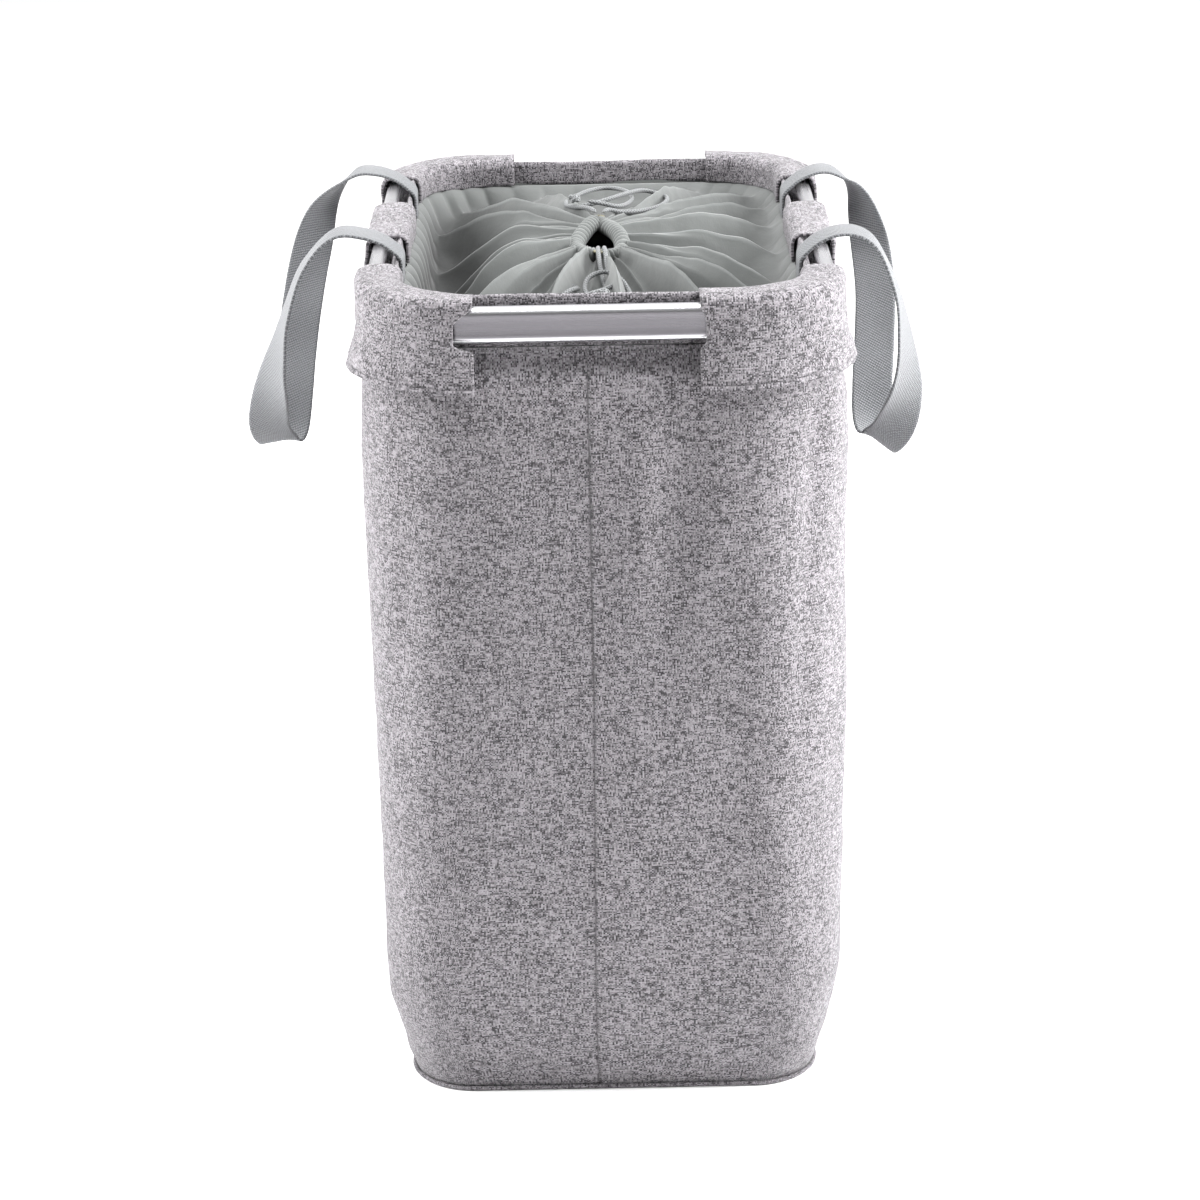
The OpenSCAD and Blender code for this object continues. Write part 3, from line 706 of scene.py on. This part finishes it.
def frame_tube(name, node, turn):
    """One U-bent tube, from the middle of one long side round to the other."""
    around, along = 56, 240
    section = tube_section(around)
    middle_z = (TUBE_Z0 + TUBE_Z1) / 2
    first = STARTS[6] + REF_SIDE / 2
    length = ROUND / 2 - 0.2 * MM

    def place(u, v):
        i = np.rint(u * around).astype(int)
        run = first + 0.1 * MM + v * length + turn * ROUND / 2
        out = -TUBE_T / 2 + section[i, 0]
        points, _ = rim_point(out, middle_z + section[i, 1], run)
        return points, np.stack([u * 0.07, v * length], -1)

    obj = cloth_grid(name, around, along, place, wrap=True)
    return finish_piece(obj, "rim", "aluminium_tube", [node])


# ------------------------------------------------------------------ body shell
def clustered(u, share=0.6):
    """Closer columns towards both ends, where the seams are."""
    return u - share * np.sin(2 * np.pi * u) / (2 * np.pi)


# Soft folds: run from the front middle, height, half height, depth in millimetres, half width
WALL_FOLDS = [
    (0.050, 0.45, 0.10, -5.0, 0.018), (0.024, 0.44, 0.10, 2.6, 0.012),
    (0.085, 0.28, 0.16, -4.0, 0.024), (ROUND - 0.07, 0.20, 0.14, -2.4, 0.024),
    (STARTS[1] + 0.055, 0.43, 0.16, -3.2, 0.010), (STARTS[2] + 0.03, 0.36, 0.15, -2.6, 0.012),
    (STARTS[8] - 0.05, 0.40, 0.15, -2.2, 0.012), (STARTS[1] + 0.10, 0.30, 0.12, 2.0, 0.014)]


def body_relief(points, run, z):
    """How far the cloth stands out from its plain form: swell, buckles and folds."""
    middle = step(z, 0.0, 0.16) * (1 - step(z, 0.50, 0.545))
    loose = 1 - step(z, SHOULDER_Z - 8 * MM, SHOULDER_Z + 6 * MM)
    t = np.mod(run, ROUND)
    front = np.exp(-((np.minimum(t, ROUND - t)) / 0.09) ** 4)
    relief = 2.5 * MM * front * middle
    relief += 3.4 * MM * waves(points * (1, 1, 0.6), 0.22, 11) * middle
    relief += 1.5 * MM * waves(points * (1, 1, 0.5), 0.10, 5) * (0.2 + 0.8 * middle) * loose
    relief += 0.45 * MM * waves(points, 0.035, 8) * loose
    foot = 1 - step(z, 0.03, 0.14)
    relief += 1.5 * MM * waves(points * (1, 1, 1.6), 0.05, 21) * foot * step(z, 0.0, 0.02)
    for at, z_mid, z_size, depth, width in WALL_FOLDS:
        lean = at + 0.06 * (z - z_mid)
        relief += depth * MM * np.exp(-((t - lean) / width) ** 2) * np.exp(-((z - z_mid) / z_size) ** 2)
    held = step(z, *DRAWN_IN) * loose
    return relief * (1 - 0.7 * held) - 1.6 * MM * held


def body_panel(name, node, first):
    """Half the outer shell, from one seam to the other, its edges turned in at the seams."""
    half = ROUND / 2
    tuck = 1.3 * MM

    def place(u, v):
        run = first - CLOTH_SLIP + clustered(u) * half
        z = SHELL_BOTTOM + v * (SHELL_TOP - SHELL_BOTTOM)
        points, normal = wall_point(z, run)
        relief = body_relief(points, run, z)
        edge = np.minimum(clustered(u), 1 - clustered(u)) * half
        crease = np.exp(-(edge / (1.5 * MM)) ** 2)
        ridge = 0.8 * MM * np.exp(-((edge - 4 * MM) / (2.2 * MM)) ** 2) * (first < 0.01)
        out = relief + ridge - tuck * crease
        points[:, :2] += normal * out[:, None]
        return points, np.stack([run, z], -1)

    obj = cloth_grid(name, 170, 116, place)
    thicken(obj, 1.1 * MM)
    bpy.context.view_layer.update()
    finish_piece(obj, None, "linen_fabric", [node])
    return obj


def apply_modifiers(obj):
    """Fixes an object's modifiers into its mesh."""
    bpy.context.view_layer.update()
    graph = bpy.context.evaluated_depsgraph_get()
    mesh = bpy.data.meshes.new_from_object(obj.evaluated_get(graph), depsgraph=graph)
    obj.modifiers.clear()
    obj.data = mesh
    return obj


def follow_rim_down(obj):
    """Walls that hang from the rim: fixes their modifiers and sets them on the base with a mesh of their
    own.
    """
    apply_modifiers(obj)
    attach(obj, "base")
    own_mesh(obj)


def make_body():
    """The outer shell, the lining bag inside it and the foam between them."""
    for name, node, first in (("shell_right", "body_panel_right", 0.0),
                              ("shell_left", "body_panel_left", ROUND / 2)):
        obj = body_panel(name, node, first)
        follow_rim_down(obj)
    lining = cloth_grid("inner_bag", 200, 60, lining_place, wrap=True)
    thicken(lining, 0.7 * MM)
    finish_piece(lining, None, "lining_fabric", ["lining"])
    follow_rim_down(lining)
    spans = {"stiffener_front": (ROUND - REF_STRAIGHT, ROUND + REF_STRAIGHT),
             "stiffener_right": (STARTS[2], STARTS[3]), "stiffener_rear": (STARTS[4], STARTS[5]),
             "stiffener_left": (STARTS[6], STARTS[7])}
    for node, (a, b) in spans.items():
        def place(u, v, a=a, b=b):
            z = FOAM_LOW + v * (FOAM_HIGH - FOAM_LOW)
            points, normal = wall_point(z, a + u * (b - a), 1.7 * MM)
            points[:, :2] += normal * body_relief(points, a + u * (b - a), z)[:, None]
            return points, np.stack([u * (b - a), z], -1)
        foam = cloth_grid(node + "_foam", 40, 40, place)
        thicken(foam, 1.6 * MM)
        finish_piece(foam, None, "foam", [node])
        follow_rim_down(foam)


def lining_place(u, v):
    """The lining: just inside the shell, with the shell's own swell."""
    z = SHELL_BOTTOM + v * (LINING_TOP - SHELL_BOTTOM)
    points, normal = wall_point(z, u * ROUND, 3.8 * MM)
    points[:, :2] += normal * (body_relief(points, u * ROUND, z) - 0.2 * MM)[:, None]
    return points, np.stack([u * ROUND, z], -1)


# ------------------------------------------------------------------ rim cloth: hem, facing, sleeves
def rim_ring(name, material, node, profile, seed, sway, thickness):
    """A closed band round the rim. The profile is a list of (out from the frame, height)."""
    line = even_line(np.array([(out, z, 0) for out, z in profile]) * MM, 25)

    def place(u, v):
        i = np.rint(v * 24).astype(int)
        run = u * ROUND
        points, normal = rim_point(line[i, 0], line[i, 1], run)
        drift = sway * MM * waves(points, 0.06, seed)
        points[:, :2] += normal * drift[:, None]
        points[:, 2] += 0.6 * sway * MM * waves(points, 0.09, seed + 1) * (line[i, 1] > NECK_Z + 4 * MM)
        return points, np.stack([run, v * line_length(line)], -1)

    obj = cloth_grid(name, 520, 24, place, wrap=True)
    thicken(obj, thickness)
    finish_piece(obj, "rim", material, [node])
    return obj


def stitch_row(name, points, normals, body="rim", pitch=3.6 * MM, size=2.5 * MM):
    """Short raised stitches laid along a line on the cloth."""
    run = np.concatenate([[0], np.cumsum(np.linalg.norm(np.diff(points, axis=0), axis=1))])
    count = int(run[-1] / pitch)
    bm = bmesh.new()
    for k in range(count):
        at = (k + 0.5) * pitch
        p = np.array([np.interp(at, run, points[:, c]) for c in range(3)])
        q = np.array([np.interp(at + 0.4 * pitch, run, points[:, c]) for c in range(3)])
        n = np.array([np.interp(at, run, normals[:, c]) for c in range(3)])
        along = Vector(q - p).normalized()
        up = (Vector(n) - along * Vector(n).dot(along)).normalized()
        side = along.cross(up)
        turn = Matrix((along, side, up)).transposed().to_4x4()
        bmesh.ops.create_uvsphere(
            bm, u_segments=6, v_segments=5, radius=0.5,
            matrix=Matrix.Translation(Vector(p)) @ turn @ Matrix.Diagonal((size, 0.75 * MM, 0.7 * MM, 1)))
    mesh = bpy.data.meshes.new(name)
    bm.to_mesh(mesh)
    bm.free()
    mesh.shade_smooth()
    return finish_piece(link_mesh(name, mesh), body, "linen_thread")


# Millimetres: out from the frame and height, from the inner edge over the tube to the flap's edge
SLEEVE_PROFILE = [(-24.2, 581), (-24.6, 588), (-24.4, 595), (-22.6, 598.8), (-17, 600), (-9, 599.8),
                  (-3, 599.5), (1.4, 597.8), (3.4, 593), (3.8, 584), (3.7, 574), (4.0, 566),
                  (5.8, 556), (8.6, 548), (11.4, 538.4)]


def sleeve_surface(run, v, ends, notch, seed):
    """A sleeve's outer face: points and normals out, with its window ends cut back at the tube."""
    line = even_line(np.array([(out * MM, z * MM, 0) for out, z in SLEEVE_PROFILE]), 61)
    at = v * 60
    out = np.interp(at, np.arange(61), line[:, 0])
    z = np.interp(at, np.arange(61), line[:, 1])
    a, b = ends
    low, low_full, high_full, high = TUBE_BITE
    bite = step(z, low, low_full) * (1 - step(z, high_full, high)) * step(out, -0.020, -0.004)
    first = a + notch[0] * bite
    last = b - notch[1] * bite
    at_run = first + run * (last - first)
    points, normal = rim_point(out, z, at_run)
    under = 1 - step(z, 0.545, 0.575)
    outer = step(out, -0.006, 0.002)
    edge = np.minimum(run, 1 - run) * (b - a)
    puff = 1.1 * MM * waves(points, 0.055, seed) + 0.5 * MM * waves(points, 0.02, seed + 3)
    points[:, :2] += normal * (puff * (0.35 + 0.65 * outer))[:, None]
    points[:, 2] += 0.9 * MM * waves(points * (1, 1, 0), 0.05, seed + 5) * (1 - outer)
    points[:, 2] += 1.0 * MM * waves(points * (1, 1, 0), 0.12, seed + 7) * under
    sewn = np.exp(-((v - 0.962) / 0.011) ** 2) + np.exp(-((edge - 3.2 * MM) / (0.9 * MM)) ** 2) * outer
    points[:, :2] -= normal * (1.2 * MM * np.minimum(sewn, 1) * outer)[:, None]
    slope = np.gradient(np.array([line[:, 0], line[:, 1]]), axis=1)
    du = np.interp(at, np.arange(61), slope[0])
    dz = np.interp(at, np.arange(61), slope[1])
    facing = np.stack([normal[:, 0] * -dz, normal[:, 1] * -dz, du], -1)
    facing /= np.linalg.norm(facing, axis=1)[:, None]
    return points, facing, np.stack([at_run, v * line_length(line)], -1)


def make_sleeves():
    """The six folded sleeves, each with stitches along its lower edge and both its ends."""
    right, left = STARTS[2] + REF_SIDE / 2, STARTS[6] + REF_SIDE / 2
    spans = {
        "corner_sleeve_front_right": (GRIP_HALF, right - SIDE_WINDOW_END, 4, 5),
        "side_sleeve_right": (right - SIDE_SLEEVE_HALF, right + SIDE_SLEEVE_HALF, 5, 5),
        "corner_sleeve_rear_right": (right + SIDE_WINDOW_END, ROUND / 2 - GRIP_HALF, 5, 5),
        "corner_sleeve_rear_left": (ROUND / 2 + GRIP_HALF, left - SIDE_WINDOW_END, 5, 5),
        "side_sleeve_left": (left - SIDE_SLEEVE_HALF, left + SIDE_SLEEVE_HALF, 5, 5),
        "corner_sleeve_front_left": (left + SIDE_WINDOW_END, ROUND - GRIP_HALF, 5, 13)}
    for k, (node, (a, b, cut_a, cut_b)) in enumerate(spans.items()):
        ends = (a - CLOTH_SLIP, b - CLOTH_SLIP)
        notch = (cut_a * MM, cut_b * MM)

        def surface(u, v, ends=ends, notch=notch, seed=30 + 9 * k):
            return sleeve_surface(u, v, ends, notch, seed)

        def place(u, v, surface=surface):
            points, _, measures = surface(u, v)
            return points, measures
        width = b - a
        obj = cloth_grid(node + "_cloth", int(width / 0.0022), 84, place)
        thicken(obj, 2.2 * MM)
        finish_piece(obj, "rim", "linen_fabric", [node])
        rows = [(np.linspace(0.01, 0.99, 80), np.full(80, 0.962))]
        for edge in (3.2 * MM / width, 1 - 3.2 * MM / width):
            rows.append((np.full(60, edge), np.linspace(0.30, 0.97, 60)))
        for j, (u, v) in enumerate(rows):
            points, normals, _ = surface(u, v)
            stitch_row(f"{node}_stitches_{j}", points, normals)


def make_rim_cloth():
    """The hem, the facing that holds the cover, and the sleeves. Profiles in millimetres."""
    rim_ring("hem_band", "linen_fabric", "top_hem",
             [(-20, 563.2), (-20, 575), (-19.6, 586), (-19.4, 595), (-20.2, 598.6), (-21.6, 599.2),
              (-22.8, 597), (-23.2, 590), (-23.2, 581.5)], 70, 0.8, 0.9 * MM)
    rim_ring("facing_band", "cover_fabric", "facing_tape",
             [(-22.2, 566), (-22.4, 572), (-22.9, 578), (-22.4, 584)], 80, 0.4, 0.6 * MM)
    make_sleeves()


# ------------------------------------------------------------------ straps
# Millimetres: out from the frame, y from the front leg, height from the turning line, turn of width
LEFT_STRAP = [
    (2, 0, 0, 0), (18, 0, 1, 0), (32, -2, -8, 0), (46, -6, -26, 4), (56, -12, -50, 8),
    (64, -20, -76, 15), (71, -32, -104, 30), (78, -50, -134, 55), (82, -66, -158, 80),
    (80, -77, -171, 90), (75, -87, -177, 90), (70, -96, -170, 92), (67, -109, -146, 95),
    (65, -128, -122, 98), (61, -148, -92, 102), (55, -174, -60, 112), (46, -190, -32, 136),
    (33, -199, -12, 162), (18, -200, 0, 178), (2, -200, 0, 180)]
RIGHT_STRAP = [
    (2, 0, 0, 0), (16, 0, -1, 0), (28, -2, -10, 2), (38, -6, -30, 5), (46, -12, -54, 10),
    (51, -20, -82, 20), (54, -32, -110, 35), (54, -48, -138, 60), (50, -65, -162, 82),
    (44, -78, -176, 90), (39, -90, -181, 90), (36, -100, -171, 92), (37, -113, -144, 95),
    (40, -134, -114, 98), (42, -156, -84, 104), (40, -178, -56, 116), (34, -191, -30, 140),
    (26, -199, -12, 164), (14, -200, -2, 178), (2, -200, 0, 180)]
# The sewn end inside the hem: out from the frame, height
STRAP_END = [(-24.4, 581), (-24.5, 592), (-23.9, 598.5), (-19.5, 603.5), (-10, 610.5)]


def strap_line(side, route, tip):
    """Points and widths of the whole webbing, from one sewn end round the loop to the other."""
    leg, top = (LEG_Y + side * CLOTH_SLIP) / MM, STRAP_TOP_Z / MM
    loop = np.array([(p[0] + 1.2, -p[1] - leg, p[2] + top, p[3]) for p in route], float)
    front = np.array([(out, loop[0, 1], z, 0) for out, z in STRAP_END])
    rear = np.array([(out, loop[-1, 1], z, 180) for out, z in STRAP_END[::-1]])
    whole = np.vstack([front, loop, rear])
    line = smooth_line(whole * (MM, MM, MM, 1), 16)
    line = even_line(line, 240)
    points = np.stack([side * (FRAME_HALF_W + line[:, 0]), line[:, 1], line[:, 2]], -1)
    turn = np.radians(line[:, 3])
    along = np.gradient(points, axis=0)
    along /= np.linalg.norm(along, axis=1)[:, None]
    low = np.exp(-((points[:, 2] - points[:, 2].min()) / (32 * MM)) ** 2)
    width = np.stack([side * np.sin(turn), np.cos(turn), -tip * low], -1)
    width -= along * (width * along).sum(1)[:, None]
    width /= np.linalg.norm(width, axis=1)[:, None]
    return points, along, width


def make_strap(word, side, route, tip):
    """One strap, from one sewn end round its loop to the other. The tip leans its lowest fold."""
    points, along, width = strap_line(side, route, tip)
    normal = np.cross(along, width) * side
    length = float(np.linalg.norm(np.diff(points, axis=0), axis=1).sum())

    def place(u, v):
        i = np.rint(v * 239).astype(int)
        t = 2 * u - 1
        bow = 0.5 * MM * (1 - t * t)
        p = points[i] + width[i] * (t * STRAP_W / 2)[:, None] + normal[i] * bow[:, None]
        p += normal[i] * (0.35 * MM * waves(p, 0.05, 90 + side))[:, None]
        return p, np.stack([u * STRAP_W, v * length], -1)

    name = f"strap_{word}_webbing"
    obj = cloth_grid(name, 16, 239, place)
    thicken(obj, STRAP_T, offset=0)
    apply_modifiers(obj)
    finish_piece(obj, None, "webbing", [f"strap_{word}", f"strap_ends_{word}"])
    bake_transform(obj)


# ------------------------------------------------------------------ drawstring cover
def mouth_curve(angle, grow):
    """The gathered mouth seen from above: wide in front, closing to a slit at the rear."""
    half = (15 - 8 * np.sin(angle)) * MM + grow
    return np.stack([half * np.cos(angle), (MOUTH_HALF_L - 4 * MM + grow) * np.sin(angle)], -1)


def gather(angle_run, count, drift, sharp, seed):
    """Rounded folds with narrow valleys, unevenly spaced: 0 in a valley, 1 on a crest."""
    rng = np.random.default_rng(seed)
    phase = count * angle_run
    for k in range(1, 6):
        phase = phase + drift * rng.uniform(-1, 1) * np.sin(k * angle_run + rng.uniform(0, 6.3))
    return np.abs(np.sin(phase / 2)) ** sharp


def cover_surface(u, t):
    """The cloth from its sewn edge (t=0) to the mouth (t=1): straight folds that fan from the mouth."""
    run = u * ROUND
    edge, normal = rim_point(COVER_OUT - 0.8 * MM, COVER_Z, run)
    angle = np.arctan2(edge[:, 1] / FRAME_HALF_D, edge[:, 0] / FRAME_HALF_W)
    mouth = mouth_curve(angle, 4.0 * MM)
    turn = 2 * np.pi * u
    left = np.exp(-((np.mod(angle, 2 * np.pi) - np.pi) / 0.8) ** 2)
    fore = np.clip(-np.sin(angle), 0, 1)
    start, crown = COVER_Z + 3.5 * MM, MOUTH_Z + 4.5 * MM
    sag = (7 + 38 * left + 14 * fore) * MM
    sunk = step(t, 0.0, 0.10 + 0.06 * left) * (1 - step(t, 0.12 + 0.06 * left, 0.62 + 0.12 * left))
    x = edge[:, 0] + (mouth[:, 0] - edge[:, 0]) * t
    y = edge[:, 1] + (mouth[:, 1] - edge[:, 1]) * t
    z = start + (crown - start) * t - sag * sunk
    uneven = 0.85 + 0.3 * np.sin(3 * turn + 1.0) * np.sin(2 * turn + 0.4)
    folds = 1 - gather(turn, 17, 1.5, 0.8, 3)
    small = 1 - gather(turn, 41, 2.4, 0.8, 4)
    deep = 36 * MM * step(t, 0.0, 0.30 + 0.1 * left) * (1 - 0.72 * step(t, 0.40, 1.0)) * uneven
    z = z + deep * (folds - 0.62)
    z = z + 7.5 * MM * step(t, 0.35, 0.8) * (1 - 0.35 * step(t, 0.9, 1.0)) * (small - 0.55)
    z = np.minimum(z, RIM_Z - 1 * MM)
    ruffle = np.exp(-((t - 0.05) / 0.05) ** 2)
    flutter = gather(turn, 58, 2.4, 0.8, 6) - 0.55
    z = z + 2.0 * MM * ruffle * flutter * (0.3 + 1.0 * left)
    points = np.stack([x, y, z], -1)
    pull = (0.3 + 2.0 * left + 0.5 * fore) * 3.4 * MM * ruffle * flutter
    points[:, :2] -= normal * np.maximum(pull, -0.8 * MM)[:, None]
    points[:, 2] += 1.6 * MM * waves(points * (1, 1, 0), 0.06, 61) * np.sin(np.pi * t)
    points[:, 2] += 0.7 * MM * waves(points * (1, 1, 0), 0.02, 62) * np.sin(np.pi * t)
    return points


def make_cover():
    """The gathered cover, and the ruffled channel round its mouth that the cords run in."""
    around, radial = 900, 110

    def place(u, v):
        points = cover_surface(u, v)
        return points, np.stack([u * COVER_ROUND, v * COVER_DEEP], -1)

    obj = cloth_grid("cover_cloth", around, radial, place, wrap=True)
    thicken(obj, 0.5 * MM)
    finish_piece(obj, "rim", "cover_fabric", ["drawstring_cover"])

    def ruffle(u, v):
        a, b = 2 * np.pi * u, 2 * np.pi * v
        folds = gather(a, 44, 2.0, 0.8, 9)
        radius = (2.7 + 3.2 * folds + 0.5 * np.sin(2 * b)) * MM
        centre = mouth_curve(a, 0)
        ahead = mouth_curve(a + 0.01, 0) - centre
        out = np.stack([ahead[:, 1], -ahead[:, 0]], -1)
        out /= np.linalg.norm(out, axis=1)[:, None]
        points = np.concatenate([centre + out * (radius * np.cos(b))[:, None],
                                 (MOUTH_Z + 2 * MM + radius * np.sin(b))[:, None]], -1)
        points[:, 2] += 1.2 * MM * np.sin(3 * a + 1) - 1.5 * MM * np.clip(-np.sin(a), 0, 1)
        return points, np.stack([u * COVER_ROUND, v * 0.034], -1)

    channel = cloth_grid("cord_channel_ruffle", 760, 28, ruffle, wrap=True)
    finish_piece(channel, "rim", "cover_fabric", ["cord_channel"])


# ------------------------------------------------------------------ base
def base_sheet(name, node, z, inside, thickness, material):
    """A flat cut of cloth that follows the plan of the foot."""
    def place(u, v):
        points, _ = wall_point(np.full(u.shape, z), u * ROUND, inside)
        points[:, :2] *= v[:, None]
        points[:, 2] += 0.25 * MM * waves(points, 0.05, 44) * np.sin(np.pi * v)
        return points, points[:, :2]

    obj = cloth_grid(name, 200, 30, place, wrap=True)
    thicken(obj, thickness)
    finish_piece(obj, "base", material, [node])
    return obj


def make_base():
    """The outer base, the lining's base and the piping round the foot."""
    base_sheet("base_cloth", "base_panel", 1.5 * MM, 0.2 * MM, 1.2 * MM, "linen_fabric")
    base_sheet("inner_base", "lining_base", 5.7 * MM, 4.8 * MM, 0.7 * MM, "lining_fabric")
    lo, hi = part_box("base_piping")
    radius = (hi[2] - lo[2]) / 2
    middle = (hi[2] + lo[2]) / 2

    def place(u, v):
        run, a = v * ROUND, 2 * np.pi * u
        centre, normal = wall_point(np.full(u.shape, middle), run, -0.9 * radius)
        points = centre + 0.0
        points[:, :2] += normal * (radius * np.cos(a))[:, None]
        points[:, 2] += radius * np.sin(a)
        return points, np.stack([u * 2 * np.pi * radius, run], -1)

    piping = cloth_grid("base_piping_cord", 12, 520, place, wrap=True)
    finish_piece(piping, "base", "linen_fabric", ["base_piping"])


def finish_cad_nodes():
    """The hard pieces keep their CAD meshes and take a finish of their own."""
    for node, material in (("frame_joint_left", "joint_plastic"), ("frame_joint_right", "joint_plastic"),
                           ("frame_rivets", "rivet_metal"), ("cord_eyelets", "eyelet_metal"),
                           ("base_board", "board")):
        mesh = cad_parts[node].data
        mesh.materials.clear()
        mesh.materials.append(MATERIALS[material])


MATERIALS = make_materials()
make_camera()
make_studio()
make_cords()
frame_tube("tube_front", "frame_front_half", 0)
frame_tube("tube_rear", "frame_rear_half", 1)
make_body()
make_rim_cloth()
make_strap("left", -1, LEFT_STRAP, 0.15)
make_strap("right", 1, RIGHT_STRAP, 0.8)
make_cover()
make_base()
finish_cad_nodes()
